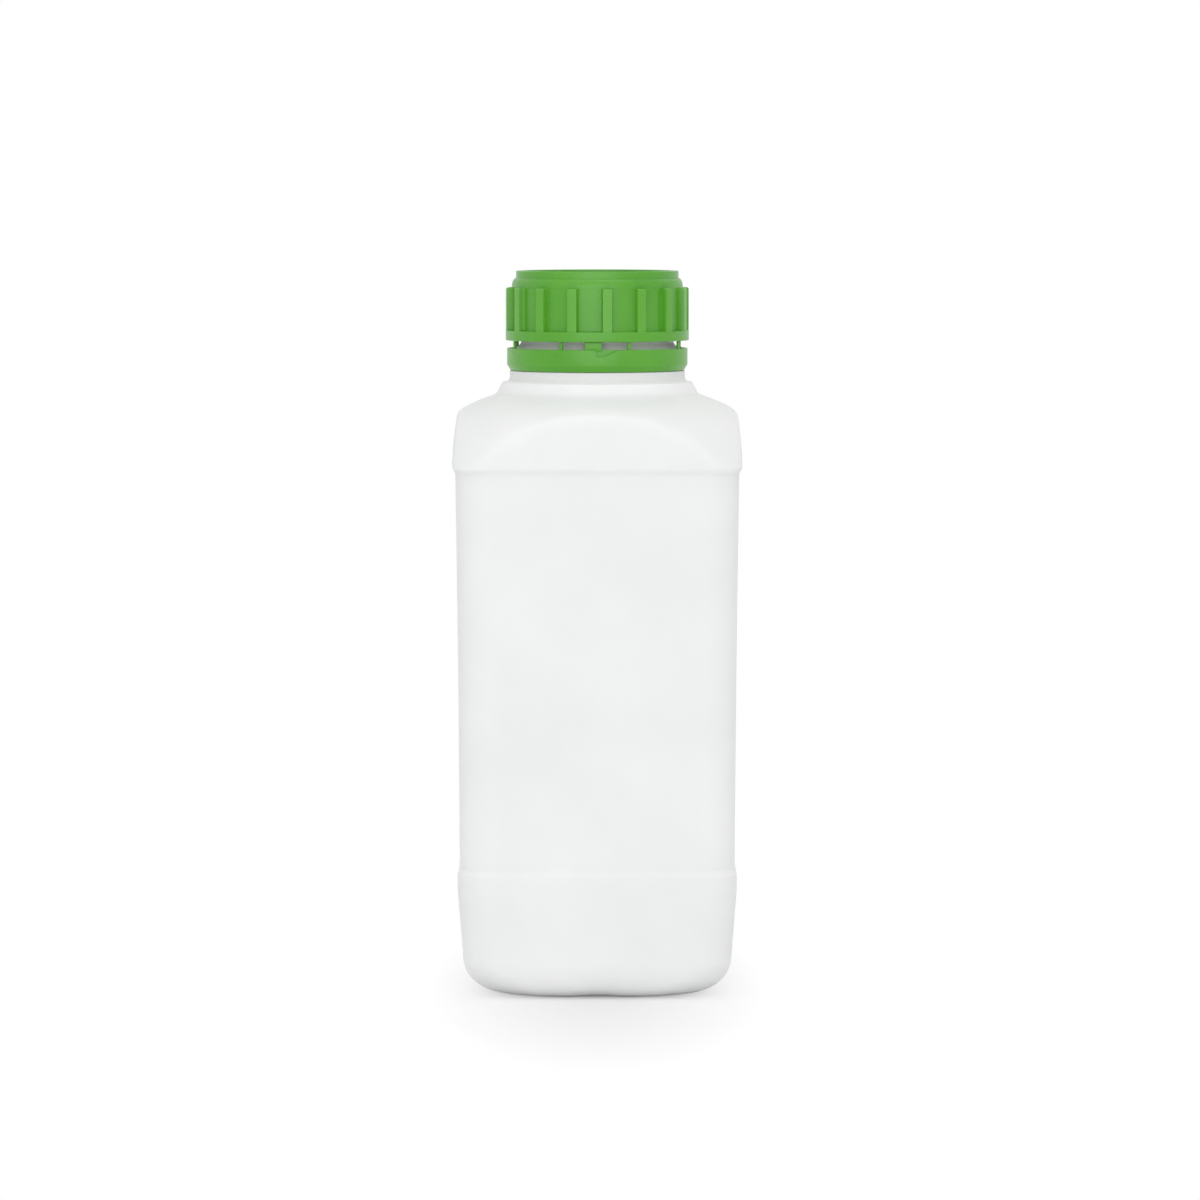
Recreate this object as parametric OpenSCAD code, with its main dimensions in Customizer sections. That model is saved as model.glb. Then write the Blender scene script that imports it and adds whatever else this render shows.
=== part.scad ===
// Square blow-moulded bottle with a ribbed screw cap, a tamper-evident ring and a sealing disc.
// Millimetres, +Z up, origin on the floor under the middle of the base, front face towards -Y.

/* [Body] */
// Width across the flats at the top of the foot band
body_w = 82.8; // [78:0.2:90]
// How much further out each flat stands at the shoulder ridge
top_draft = 1.5; // [0:0.1:2]
// Radius of the four upright corners
corner_r = 10.5; // [8:0.5:13]
// Wall of the blown body
body_wall = 1.2; // [1:0.1:1.6]
// Height of the foot band, up to the label panel
band_h = 37.8; // [36:0.2:48]
// Height of the label panel
label_h = 118.6; // [90:0.2:150]
// Height of the shoulder, from the ridge over the label panel to the collar
shoulder_h = 21.4; // [19:0.2:24]

/* [Foot] */
// Radius of the rounded edge round the base
foot_fillet = 10.4; // [8:0.2:13]
// Corner radius of the outline that meets the floor
foot_corner_r = 17.6; // [12:0.2:19]
// How far each flat draws in between the foot band and the rounded edge
foot_taper = 1.2; // [0:0.1:1.6]
// Height where that drawing in starts
taper_start_h = 32; // [24:1:34]
// Width of the flat ring that the bottle stands on
foot_ring_w = 3; // [2:0.5:4]
// Height of the hollow inside that ring
push_up_h = 2.6; // [1.6:0.2:4]
// Height of the notch under the middle of each side
notch_h = 0.6; // [0.2:0.1:1]
// Width of that notch
notch_w = 14; // [8:1:20]

/* [Label panel] */
// Depth of the panel's recess at its lower end
recess_bottom = 0.65; // [0.3:0.05:1]
// Depth of the recess at its upper end
recess_top = 0.9; // [0.4:0.05:1.2]
// How much deeper the middle of the panel lies
panel_sink = 0.15; // [0:0.05:0.4]
// Height of the soft step at each end of the panel
step_h = 2.4; // [1.6:0.2:4]

/* [Shoulder] */
// Radius of the arc that the shoulder is turned from
shoulder_arc_r = 40.4; // [36:0.2:46]
// Radius of the shoulder where it meets the collar
shoulder_top_r = 30.2; // [29:0.2:31.4]
// Radius where that arc is centred
shoulder_ring_r = 20.4; // [18:0.2:22]
// Softness of the arched edge between the shoulder and each flat
arch_blend = 7.6; // [4:0.2:9]

/* [Neck] */
// Radius at the top of the collar
collar_r = 28.2; // [27.6:0.1:28.8]
// Height of the collar under the neck
collar_h = 4; // [3.6:0.1:5]
// Height of the plain neck that shows under the tamper ring
seat_h = 3.3; // [2.4:0.05:5]
// Height of the finish, from the tamper ring's seat to the lip
finish_h = 25.6; // [24:0.05:27]
// Radius of the neck between its threads
neck_r = 22.8; // [22.4:0.1:23.2]
// Wall of the neck
neck_wall = 2; // [1.6:0.1:2.4]
// How far the bead that holds the tamper ring stands out of its groove
bead_h = 1.2; // [1:0.1:1.4]
// Depth from the seat's rim to the groove under the bead
groove_depth = 2; // [1.8:0.1:2.2]
// Height of that groove
groove_h = 3.8; // [3.6:0.1:4.2]
// Height of the bead's upright face
bead_face_h = 0.9; // [0.6:0.1:1.2]
// Height of the ramp that leads the ring over the bead
bead_ramp_h = 2.1; // [1.6:0.1:2.4]
// How much wider the neck is at the groove than between its threads
neck_flare = 1.4; // [1.2:0.1:1.6]
// Height over which the neck narrows above the bead
neck_flare_h = 1.4; // [1:0.1:1.8]
// Thickness of the plate that carries the neck
neck_plate_t = 1.6; // [1.4:0.1:1.8]

/* [Thread] */
// Rise of the thread in one turn
pitch = 5; // [4.6:0.1:5.4]
// How far the neck's thread stands out
thread_h = 1.3; // [1.1:0.05:1.4]
// Width of the neck's thread at its root
thread_w = 2.4; // [2:0.1:2.6]
// Turns of thread on the neck
neck_turns = 1.9; // [1.4:0.1:2]
// Turns of thread in the cap
cap_turns = 1.4; // [1:0.1:1.5]
// Clearance between a thread's crest and the wall that it faces
thread_gap = 0.4; // [0.35:0.05:0.6]
// Depth of the upper end of the neck's thread under the lip
thread_top_gap = 2.4; // [2:0.1:3]
// Play between the flanks of the two threads
flank_play = 0.35; // [0.3:0.05:0.45]

/* [Cap] */
// Wall of the cap between its ribs
cap_wall = 1.1; // [0.9:0.1:1.4]
// How far the ribs and the flange stand out of that wall
rib_h = 1.8; // [1.2:0.1:2.2]
// Width of a rib
rib_w = 3; // [2:0.1:4]
// Number of ribs
rib_count = 16; // [12:1:20]
// Direction of the first rib, in degrees from the front towards +X
rib_a = 6.4; // [0:0.1:20]
// Length of a rib above the flange
rib_len = 12.8; // [11:0.1:13.2]
// Height of the flange at the cap's open end
flange_h = 3; // [1.5:0.1:3.5]
// Thickness of the cap's top plate
plate_t = 1.5; // [1.2:0.1:2]
// Height of the raised rim round the top plate
rim_h = 1.6; // [1:0.1:2.2]
// Width of that raised rim
rim_w = 1.8; // [1.2:0.1:2.6]
// How far the rim stands in from the wall
rim_inset = 1.3; // [1.1:0.1:1.6]
// Height of the rounded shoulder under the rim
cap_shoulder_h = 2.7; // [2:0.1:3]
// How far that shoulder draws in
cap_shoulder_in = 0.9; // [0.6:0.1:1]
// Thickness of the sealing disc
liner_t = 1.1; // [0.8:0.1:1.6]
// Clearance round the sealing disc
liner_clear = 0.5; // [0.3:0.1:0.7]
// How far the bead that keeps the disc in the cap stands in
liner_bead = 0.8; // [0.6:0.1:0.9]

/* [Tamper ring] */
// Height of the ring
ring_h = 6.6; // [6.2:0.1:7.4]
// Open gap between the ring and the cap
ring_gap = 2.3; // [1.4:0.1:2.6]
// How far the ring stands back from the rim of the cap's flange
ring_back = 0.4; // [0:0.05:0.5]
// Clearance between the ring and the bead it is pushed over
ring_clear = 0.4; // [0.35:0.05:0.6]
// Gap between the ring and the seat that it rests over
seat_gap = 0.15; // [0.1:0.05:0.3]
// How far the ring's lower outer edge draws in
ring_foot_in = 1; // [0.5:0.1:1]
// Height of that drawn-in edge
ring_foot_h = 1.7; // [1:0.1:2]
// Height where the holding segments reach their full depth
hook_z = 1.8; // [1.6:0.1:2]
// Height of their full depth
hook_h = 1; // [0.8:0.1:1.2]
// Height over which they run out above
hook_ramp_h = 0.9; // [0.7:0.1:1.1]
// Number of thin bridges to the cap
bridge_count = 8; // [5:1:10]
// Direction of the first bridge, in degrees from the front towards +X
bridge_a = 21; // [15:1:60]
// Width of a bridge
bridge_w = 1.1; // [0.6:0.1:2]
// Thickness of a bridge
bridge_t = 0.8; // [0.5:0.1:1]
// Gap left where the bridges have parted from the cap
parted_gap = 0.1; // [0.05:0.05:0.3]
// Direction of the stop block between the ring and the cap
stop_a = -2.5; // [-10:0.5:0]
// Width of the stop block, along the ring
stop_w = 5; // [3:0.5:8]
// How far the stop block stands back from the ring's outside
stop_back = 0.4; // [0.2:0.1:0.6]
// Direction of the tear notch's upright side, beside the block
tear_a = -0.8; // [-2:0.2:6]
// Depth of the tear notch
tear_depth = 2; // [1:0.1:2.8]
// Width of that notch at its top
tear_w = 7; // [4:0.2:9]
// Width of its floor
tear_floor_w = 2.4; // [1:0.2:3.6]
// Number of inner holding segments
segment_count = 12; // [8:1:16]
// Direction of the first slot between those segments
slot_a = -12; // [-20:1:0]
// Width of the slots between those segments
slot_w = 1.6; // [1:0.1:2.4]

/* [Hidden] */
$fn = 96;

// Heights that follow
label_z = band_h;
ridge_z = label_z + label_h;
collar_z = ridge_z + shoulder_h;
collar_top_z = collar_z + collar_h;
seat_z = collar_top_z + seat_h;
lip_z = seat_z + finish_h;
ring_z = seat_z + seat_gap;
ring_top_z = ring_z + ring_h;
cap_z = ring_top_z + ring_gap;
plate_z = lip_z + liner_t;
cap_top_z = plate_z + plate_t + rim_h;
flange_top_z = cap_z + flange_h;
rib_top_z = flange_top_z + rib_len;
cap_ledge_z = rib_top_z + cap_shoulder_h;
bead_z = seat_z + groove_h;
bead_face_z = bead_z + bead_face_h;
bead_top_z = bead_face_z + bead_ramp_h;
neck_foot_z = bead_top_z + neck_flare_h;

// Radii that follow
crest_r = neck_r + thread_h;
bore_r = neck_r - neck_wall;
cap_bore_r = crest_r + thread_gap;
cap_wall_r = cap_bore_r + cap_wall;
flange_r = cap_wall_r + rib_h;
cap_crest_r = neck_r + thread_gap;
rim_r = cap_wall_r - rim_inset;
ring_r = flange_r - ring_back;
groove_r = neck_r + neck_flare;
bead_r = groove_r + bead_h;
seat_r = groove_r + groove_depth;
ring_bore_r = bead_r + ring_clear;
hook_r = groove_r + ring_clear;

// Small edges and overlaps
edge = 0.2; // broken edge of a moulded rim
soft_edge = 0.5; // rounder edge, at the lip and the ribs' ends
root = 0.4; // how deep an added feature is rooted in what carries it

// The upright skin of the bottle: half widths, corner radii and the turned shoulder.
// Each takes the height z and the depth t of the skin under the outside.
plate_foot_z = collar_top_z - neck_plate_t;
loft_top_z = plate_foot_z + root;
arc_z = collar_z - sqrt(pow(shoulder_arc_r, 2) - pow(shoulder_top_r - shoulder_ring_r, 2));

function ramp(a, b, x) = let (t = min(1, max(0, (x - a) / (b - a)))) t * t * (3 - 2 * t);
function soft_min(a, b, k) = let (h = max(k - abs(a - b), 0) / k) min(a, b) - h * h * k / 4;
function soft_max(a, b, k) = -soft_min(-a, -b, k);

// depth of the label panel at height z
function recess(z) =
    let (t = min(1, max(0, (z - label_z) / label_h)))
    (recess_bottom + (recess_top - recess_bottom) * t + panel_sink * 4 * t * (1 - t))
        * ramp(label_z - step_h / 2, label_z + step_h / 2, z)
        * (1 - ramp(ridge_z - step_h / 2, ridge_z + step_h / 2, z));

// how far the rounded edge at the base has drawn in at height z
function edge_inset(z, t) =
    z >= foot_fillet ? t : foot_fillet - sqrt(max(0, pow(foot_fillet - t, 2) - pow(foot_fillet - z, 2)));

function half_w(z, t) =
    body_w / 2
        + top_draft * min(1, max(0, (z - label_z) / label_h))
        - foot_taper * min(1, max(0, (taper_start_h - z) / (taper_start_h - foot_fillet)))
        - recess(z)
        - edge_inset(z, t);

function corner(z, t) =
    max(1, corner_r + (foot_corner_r - corner_r) * (1 - ramp(0, foot_fillet, z)) - t);

collar_blend = 2.8; // softness of the fillet between the shoulder and the collar
far = 2 * body_w; // a radius that limits nothing

function shoulder_r(z, t) =
    let (
        rise = min(abs(z - arc_z), shoulder_arc_r - t),
        arc = shoulder_ring_r + sqrt(pow(shoulder_arc_r - t, 2) - rise * rise),
        side = shoulder_top_r - t + (collar_r - shoulder_top_r) * (z - collar_z) / collar_h
    )
    z < arc_z ? far : soft_max(arc, side, collar_blend);

// distance from the axis to a rounded square of half width h and corner radius r, at angle a
function square_r(a, h, r) =
    let (
        b = abs(((a + 45) % 90 + 90) % 90 - 45),
        c = h - r,
        m = c * (cos(b) + sin(b))
    )
    h * tan(b) <= c ? h / cos(b) : m + sqrt(max(0, m * m - 2 * c * c + r * r));

// The angles of one ring of points: wide steps over the flats, close ones round the corners.
flat_steps = 9;
corner_steps = 7;
flat_a = atan((body_w / 2 - corner_r) / (body_w / 2));
ring_angles = [
    for (q = [0:3]) each concat(
        [for (i = [0:flat_steps - 1]) 90 * q - flat_a + 2 * flat_a * i / flat_steps],
        [for (i = [0:corner_steps - 1]) 90 * q + flat_a + (90 - 2 * flat_a) * i / corner_steps]
    )
];

function ring_at(h, r, limit, z, blend = 1) = [
    for (a = ring_angles)
        let (d = soft_min(square_r(a, h, r), limit, blend))
        [d * cos(a), d * sin(a), z]
];

// the blend is sharp at the ridge, which keeps its corners, and full just above it
function blend_at(z) = 1 + (arch_blend - 1) * ramp(ridge_z - step_h, ridge_z + 2 * step_h, z);

function skin_ring(z, t) =
    ring_at(half_w(z, t), corner(z, t), shoulder_r(z, t), z, blend_at(z));

// how far the notch lifts a point of the foot: most on the middle lines of the sides
function notch_lift(p, share) =
    let (s = min(abs(p[0]), abs(p[1])) * 2 / notch_w)
    s >= 1 ? 0 : share * notch_h * (1 - s * s);

function lifted(ring, share) = [for (p = ring) [p[0], p[1], p[2] + notch_lift(p, share)]];

// The rings of the base, from its middle outwards. The flat foot ring lies between the last two.
foot_half = half_w(0, 0);
foot_in = foot_half - foot_ring_w;

function base_rings(t) = [
    ring_at(foot_in * 0.35, foot_corner_r * 0.35, far, push_up_h + t),
    ring_at(foot_in * 0.8, foot_corner_r * 0.8, far, push_up_h * 0.82 + t),
    ring_at(foot_in - 0.6 - t, foot_corner_r - 1 - t, far, 0.35 + t),
    ring_at(foot_in + 0.4 - t, foot_corner_r - t, far, t)
];

edge_angles = [15:15:90];
outer_heights = concat(
    [taper_start_h],
    [for (i = [-2:2]) label_z + step_h * i / 4],
    [for (i = [1:3]) label_z + label_h * i / 4],
    [for (i = [-2:2]) ridge_z + step_h * i / 4]
);
inner_heights = concat(
    [taper_start_h],
    [for (i = [-1:1]) label_z + step_h * i / 2],
    [label_z + label_h / 2],
    [for (i = [-1:1]) ridge_z + step_h * i / 2]
);

// heights up the shoulder, closer together where the arc lies flatter
arc_from = asin((ridge_z + step_h - arc_z) / shoulder_arc_r);
arc_to = asin((collar_z - arc_z) / shoulder_arc_r);
function arc_heights(n) =
    [for (i = [0:n]) arc_z + shoulder_arc_r * sin(arc_from + (arc_to - arc_from) * i / n)];

outer_rings = concat(
    base_rings(0),
    [lifted(skin_ring(0, 0), 0.5)],
    [for (a = edge_angles) lifted(skin_ring(foot_fillet * (1 - cos(a)), 0), cos(a))],
    [for (z = concat(outer_heights, arc_heights(10))) skin_ring(z, 0)],
    [skin_ring(collar_z + (loft_top_z - collar_z) / 3, 0), skin_ring(loft_top_z, 0)]
);
inner_rings = concat(
    base_rings(body_wall),
    [for (a = [30:30:90])
        skin_ring(foot_fillet - (foot_fillet - body_wall) * cos(a), body_wall)],
    [for (z = concat(inner_heights, arc_heights(7))) skin_ring(z, body_wall)],
    [skin_ring(loft_top_z, body_wall)]
);

// One closed wall: the outer skin up, across the rim, and the inner skin down.
module blown_wall() {
    rings = concat(outer_rings, [for (i = [len(inner_rings) - 1:-1:0]) inner_rings[i]]);
    n = len(ring_angles);
    last = len(rings) - 1;
    points = [for (r = rings) each r];
    sides = [
        for (k = [0:last - 1], i = [0:n - 1])
            let (a = k * n + i, b = k * n + (i + 1) % n)
            each [[a, b + n, b], [a, a + n, b + n]]
    ];
    ends = [
        [for (i = [0:n - 1]) i],
        [for (i = [n - 1:-1:0]) last * n + i]
    ];
    polyhedron(points, concat(sides, ends), convexity = 6);
}

// A helical thread. It rises counter-clockwise and fades into its wall at both ends.
flank_slope = 0.45; // how far each flank leans back per unit of its height

module helix(wall_r, tip_r, root_w, turns, start_z, start_a) {
    per_turn = 40;
    n = round(turns * per_turn);
    fade = 5; // steps over which each end fades
    out = sign(tip_r - wall_r);
    buried_r = wall_r - root * out;
    end_r = wall_r - root / 4 * out;
    tip_w = root_w - 2 * flank_slope * abs(tip_r - wall_r);
    points = [
        for (i = [0:n])
            let (
                a = start_a + 360 * i / per_turn,
                z = start_z + pitch * i / per_turn,
                f = min(1, i / fade, (n - i) / fade),
                r = end_r + (tip_r - end_r) * f
            )
            each [
                [buried_r * cos(a), buried_r * sin(a), z - root_w / 2],
                [r * cos(a), r * sin(a), z - tip_w / 2],
                [r * cos(a), r * sin(a), z + tip_w / 2],
                [buried_r * cos(a), buried_r * sin(a), z + root_w / 2]
            ]
    ];
    sides = [
        for (i = [0:n - 1], k = [0:3])
            let (a = 4 * i + k, b = 4 * i + (k + 1) % 4)
            each [[a, b, b + 4], [a, b + 4, a + 4]]
    ];
    faces = concat(sides, [[3, 2, 1, 0]], [[4 * n, 4 * n + 1, 4 * n + 2, 4 * n + 3]]);
    polyhedron(points, out > 0 ? faces : [for (f = faces) [for (i = [len(f) - 1:-1:0]) f[i]]]);
}

// the threads lie so that the cap's upper flank nearly bears on the neck's lower one
neck_thread_a = 0;
cap_thread_a = 90;
neck_thread_z = lip_z - thread_top_gap - neck_turns * pitch;
thread_shift = thread_w - flank_slope * (thread_h + thread_gap) + flank_play;
cap_thread_z = neck_thread_z - thread_shift + pitch * (cap_thread_a - neck_thread_a) / 360;

// the plate under the neck is rooted in the top of the blown wall, halfway through its thickness
wall_top_r = shoulder_r(loft_top_z, 0);
plate_root_r = wall_top_r - body_wall / 2;

module neck() {
    rotate_extrude() polygon([
        [seat_r - neck_wall, plate_foot_z],
        [plate_root_r, plate_foot_z],
        [wall_top_r - edge, loft_top_z],
        [collar_r, collar_top_z - edge],
        [collar_r - edge, collar_top_z],
        [seat_r, collar_top_z],
        [seat_r, seat_z - edge],
        [seat_r - edge, seat_z],
        [groove_r, seat_z],
        [groove_r, bead_z],
        [bead_r, bead_z],
        [bead_r, bead_face_z],
        [groove_r, bead_top_z],
        [neck_r, neck_foot_z],
        [neck_r, lip_z - soft_edge],
        [neck_r - soft_edge, lip_z],
        [bore_r, lip_z],
        [bore_r, neck_foot_z],
        [groove_r - neck_wall, bead_top_z],
        [groove_r - neck_wall, seat_z],
        [seat_r - neck_wall, seat_z - neck_wall]
    ]);
}

module bottle() color("white") {
    blown_wall();
    neck();
    helix(neck_r, crest_r, thread_w, neck_turns, neck_thread_z, neck_thread_a);
}

// directions are measured from the front of the bottle towards +X
module facing(a) rotate(a - 90) children();

module ring_profile() polygon([
    [ring_r - ring_foot_in, ring_z],
    [ring_r, ring_z + ring_foot_h],
    [ring_r, ring_top_z - edge],
    [ring_r - edge, ring_top_z],
    [ring_bore_r, ring_top_z],
    [ring_bore_r, ring_z + hook_z + hook_h + hook_ramp_h],
    [hook_r, ring_z + hook_z + hook_h],
    [hook_r, ring_z + hook_z],
    [ring_bore_r, ring_z]
]);

// a cut through the segments, from under the ring to above their ramps
module hook_slot() {
    slot_in = groove_r;
    slot_out = ring_bore_r + edge / 2;
    slot_h = hook_z + hook_h + hook_ramp_h;
    translate([slot_in, -slot_w / 2, ring_z - root])
        cube([slot_out - slot_in, slot_w, slot_h + 2 * root]);
}

// the notch is upright on the block's side and runs out slowly on the other
module tear_notch() {
    slack = 0.1;
    translate([ring_bore_r - root, 0, ring_top_z])
        rotate([90, 0, 90])
            linear_extrude(ring_r - ring_bore_r + 4 * root)
                polygon([
                    [0, slack],
                    [0, -tear_depth],
                    [tear_floor_w, -tear_depth],
                    [tear_w, slack]
                ]);
}

// a post on the ring's top edge that reaches up to the cap
module post(depth, width) {
    post_in = ring_bore_r + edge / 2;
    translate([post_in, -width / 2, ring_top_z - root])
        cube([depth, width, root + ring_gap - parted_gap]);
}

module tamper_ring() color("limegreen") {
    difference() {
        rotate_extrude() ring_profile();
        for (k = [0:segment_count - 1])
            facing(slot_a + 360 * k / segment_count) hook_slot();
        facing(tear_a) tear_notch();
    }
    for (k = [0:bridge_count - 1])
        facing(bridge_a + 360 * k / bridge_count) post(bridge_t, bridge_w);
    facing(stop_a) post(ring_r - ring_bore_r - stop_back, stop_w);
}

// A rib's outline from above: it widens towards the wall by the draft of its flanks.
module rib_outline() {
    draft = 0.2;
    polygon([
        [cap_bore_r, -rib_w / 2 - draft],
        [flange_r + draft, -rib_w / 2 + draft],
        [flange_r + draft, rib_w / 2 - draft],
        [cap_bore_r, rib_w / 2 + draft]
    ]);
}

module cap_ribs() {
    rib_root_r = cap_wall_r - cap_wall / 2;
    intersection() {
        rotate_extrude() polygon([
            [rib_root_r, flange_top_z - root],
            [flange_r, flange_top_z - root],
            [flange_r, rib_top_z - soft_edge],
            [flange_r - soft_edge, rib_top_z],
            [rib_root_r, rib_top_z]
        ]);
        union() for (k = [0:rib_count - 1])
            facing(rib_a + 360 * k / rib_count)
                translate([0, 0, flange_top_z - 2 * root])
                    linear_extrude(rib_len + 4 * root)
                        rib_outline();
    }
}

module cap_shell() {
    rotate_extrude() polygon(concat(
        [
            [cap_bore_r, cap_z],
            [flange_r - edge, cap_z],
            [flange_r, cap_z + edge],
            [flange_r, flange_top_z - edge],
            [flange_r - edge, flange_top_z],
            [cap_wall_r, flange_top_z],
            [cap_wall_r, rib_top_z]
        ],
        [
            for (a = [15:15:90])
                [cap_wall_r - cap_shoulder_in * (1 - cos(a)), rib_top_z + cap_shoulder_h * sin(a)]
        ],
        [
            [rim_r, cap_ledge_z],
            [rim_r, cap_top_z - edge],
            [rim_r - edge, cap_top_z],
            [rim_r - rim_w + edge, cap_top_z],
            [rim_r - rim_w, cap_top_z - edge],
            [rim_r - rim_w, plate_z + plate_t],
            [0, plate_z + plate_t],
            [0, plate_z],
            [cap_bore_r, plate_z],
            [cap_bore_r, lip_z - edge],
            [cap_bore_r - liner_bead, lip_z - edge - liner_bead / 2],
            [cap_bore_r, lip_z - edge - liner_bead]
        ]
    ));
}

module screw_cap() color("limegreen") {
    cap_shell();
    cap_ribs();
    helix(cap_bore_r, cap_crest_r, thread_w, cap_turns, cap_thread_z, cap_thread_a);
}

module cap_liner() color("ivory") {
    translate([0, 0, lip_z]) cylinder(h = liner_t, r = cap_bore_r - liner_clear);
}

bottle();
tamper_ring();
screw_cap();
cap_liner();
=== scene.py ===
import math

import bmesh
import bpy
from mathutils import Matrix, Vector, noise


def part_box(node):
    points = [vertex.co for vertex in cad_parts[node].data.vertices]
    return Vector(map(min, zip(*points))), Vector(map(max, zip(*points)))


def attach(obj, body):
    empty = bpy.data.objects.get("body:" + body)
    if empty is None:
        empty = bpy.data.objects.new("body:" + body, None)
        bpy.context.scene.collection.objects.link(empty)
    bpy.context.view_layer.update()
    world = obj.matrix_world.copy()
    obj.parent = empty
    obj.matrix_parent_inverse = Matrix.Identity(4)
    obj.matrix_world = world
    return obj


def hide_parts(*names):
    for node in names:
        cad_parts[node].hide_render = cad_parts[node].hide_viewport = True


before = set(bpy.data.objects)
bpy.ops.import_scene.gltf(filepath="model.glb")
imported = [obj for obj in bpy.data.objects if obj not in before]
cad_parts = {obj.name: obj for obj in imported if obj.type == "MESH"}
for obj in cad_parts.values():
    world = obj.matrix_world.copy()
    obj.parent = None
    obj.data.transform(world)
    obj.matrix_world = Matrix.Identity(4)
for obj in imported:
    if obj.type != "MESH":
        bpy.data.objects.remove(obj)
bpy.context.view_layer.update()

mm = 0.001
# radius of the hole that closeEnd fills in the middle of a turned piece
hub = 0.4
print("frame loaded:", sorted(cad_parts))


def ramp(low, high, x):
    t = min(1.0, max(0.0, (x - low) / (high - low)))
    return t * t * (3 - 2 * t)


def softMin(a, b, k):
    h = max(k - abs(a - b), 0.0) / k
    return min(a, b) - h * h * k / 4


def softMax(a, b, k):
    return -softMin(-a, -b, k)


def angleOf(vert):
    return math.atan2(vert.co.y, vert.co.x)


def fromFront(angle):
    # degrees round the axis, 0 at the front of the bottle and growing towards +X
    return (math.degrees(angle) + 90 + 180) % 360 - 180


def roundedLine(points, radius, steps=3):
    # a turned profile: every inner point becomes a short arc
    line = [Vector(points[0])]
    for before, point, after in zip(points, points[1:], points[2:]):
        p, a, b = Vector(point), Vector(before), Vector(after)
        reach = min(radius, (a - p).length * 0.45, (b - p).length * 0.45)
        start = p + (a - p).normalized() * reach
        end = p + (b - p).normalized() * reach
        for i in range(steps + 1):
            t = i / steps
            line.append(start.lerp(p, t).lerp(p.lerp(end, t), t))
    line.append(Vector(points[-1]))
    return line


def openCircle(segments, crowding=0.0):
    # crowding pulls the points of the circle towards the four corners
    bm = bmesh.new()
    bmesh.ops.create_circle(bm, cap_ends=False, segments=segments, radius=1.0)
    for v in bm.verts:
        a = angleOf(v)
        a += crowding * math.sin(4 * a) / 4
        v.co = Vector((math.cos(a), math.sin(a), 0))
    return bm


def placeRing(verts, row):
    radiusAt, heightAt = row
    for v in verts:
        a = angleOf(v)
        r = radiusAt(a) if callable(radiusAt) else radiusAt
        z = heightAt(a) if callable(heightAt) else heightAt
        v.co = Vector((r * math.cos(a), r * math.sin(a), z)) * mm


def stackRings(bm, rows):
    # each row is extruded from the one before and shaped to its own outline
    placeRing(bm.verts, rows[0])
    firstEdges = edges = list(bm.edges)
    for row in rows[1:]:
        made = bmesh.ops.extrude_edge_only(bm, edges=edges)["geom"]
        verts = {g for g in made if isinstance(g, bmesh.types.BMVert)}
        edges = [
            g for g in made
            if isinstance(g, bmesh.types.BMEdge) and g.verts[0] in verts and g.verts[1] in verts
        ]
        placeRing(verts, row)
    return firstEdges, edges


def closeEnd(bm, edges):
    face = bmesh.ops.contextual_create(bm, geom=edges)["faces"][0]
    bmesh.ops.poke(bm, faces=[face])


def makePiece(name, bm, body, material, sharpAngle=40.0):
    bmesh.ops.recalc_face_normals(bm, faces=bm.faces)
    mesh = bpy.data.meshes.new(name)
    bm.to_mesh(mesh)
    bm.free()
    mesh.shade_smooth()
    mesh.set_sharp_from_angle(angle=math.radians(sharpAngle))
    piece = bpy.data.objects.new(name, mesh)
    bpy.context.scene.collection.objects.link(piece)
    mesh.materials.append(material)
    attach(piece, body)
    return piece


class Nodes:
    # a thin hand on a material's node tree
    def __init__(self, name):
        self.material = bpy.data.materials.new(name)
        self.material.use_nodes = True
        self.tree = self.material.node_tree
        self.shader = self.tree.nodes["Principled BSDF"]
        self.coords = self.add("ShaderNodeTexCoord").outputs["Object"]

    def add(self, kind, inputs=None, **settings):
        node = self.tree.nodes.new(kind)
        for key, value in settings.items():
            setattr(node, key, value)
        for key, value in (inputs or {}).items():
            if isinstance(value, bpy.types.NodeSocket):
                self.tree.links.new(value, node.inputs[key])
            else:
                node.inputs[key].default_value = value
        return node

    def noise(self, scale, detail=2.0, roughness=0.5):
        made = self.add("ShaderNodeTexNoise", {
            "Vector": self.coords, "Scale": scale, "Detail": detail, "Roughness": roughness,
        })
        return made.outputs["Fac"]

    def spread(self, value, low, high, toLow, toHigh):
        made = self.add("ShaderNodeMapRange", {
            "Value": value, "From Min": low, "From Max": high, "To Min": toLow, "To Max": toHigh,
        })
        return made.outputs["Result"]

    def blendColour(self, factor, first, second):
        # the sixth and seventh sockets of the mixer are its two colours
        return self.add("ShaderNodeMix", {0: factor, 6: first, 7: second}, data_type="RGBA").outputs[2]

    def radius(self):
        flat = self.add("ShaderNodeVectorMath", {0: self.coords, 1: (1, 1, 0)}, operation="MULTIPLY")
        return self.add("ShaderNodeVectorMath", {0: flat.outputs[0]}, operation="LENGTH").outputs["Value"]

    def height(self):
        return self.add("ShaderNodeSeparateXYZ", {0: self.coords}).outputs["Z"]

    def product(self, first, second):
        return self.add("ShaderNodeMath", {0: first, 1: second}, operation="MULTIPLY").outputs[0]

    def bump(self, height, strength, distance, below=None):
        inputs = {"Height": height, "Strength": strength, "Distance": distance}
        if below is not None:
            inputs["Normal"] = below
        return self.add("ShaderNodeBump", inputs).outputs["Normal"]

    def feed(self, socket, value):
        self.tree.links.new(value, self.shader.inputs[socket])


def srgb(r, g, b):
    return (*(c / 12.92 if c <= 0.04045 else ((c + 0.055) / 1.055) ** 2.4 for c in (r, g, b)), 1)


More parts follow.
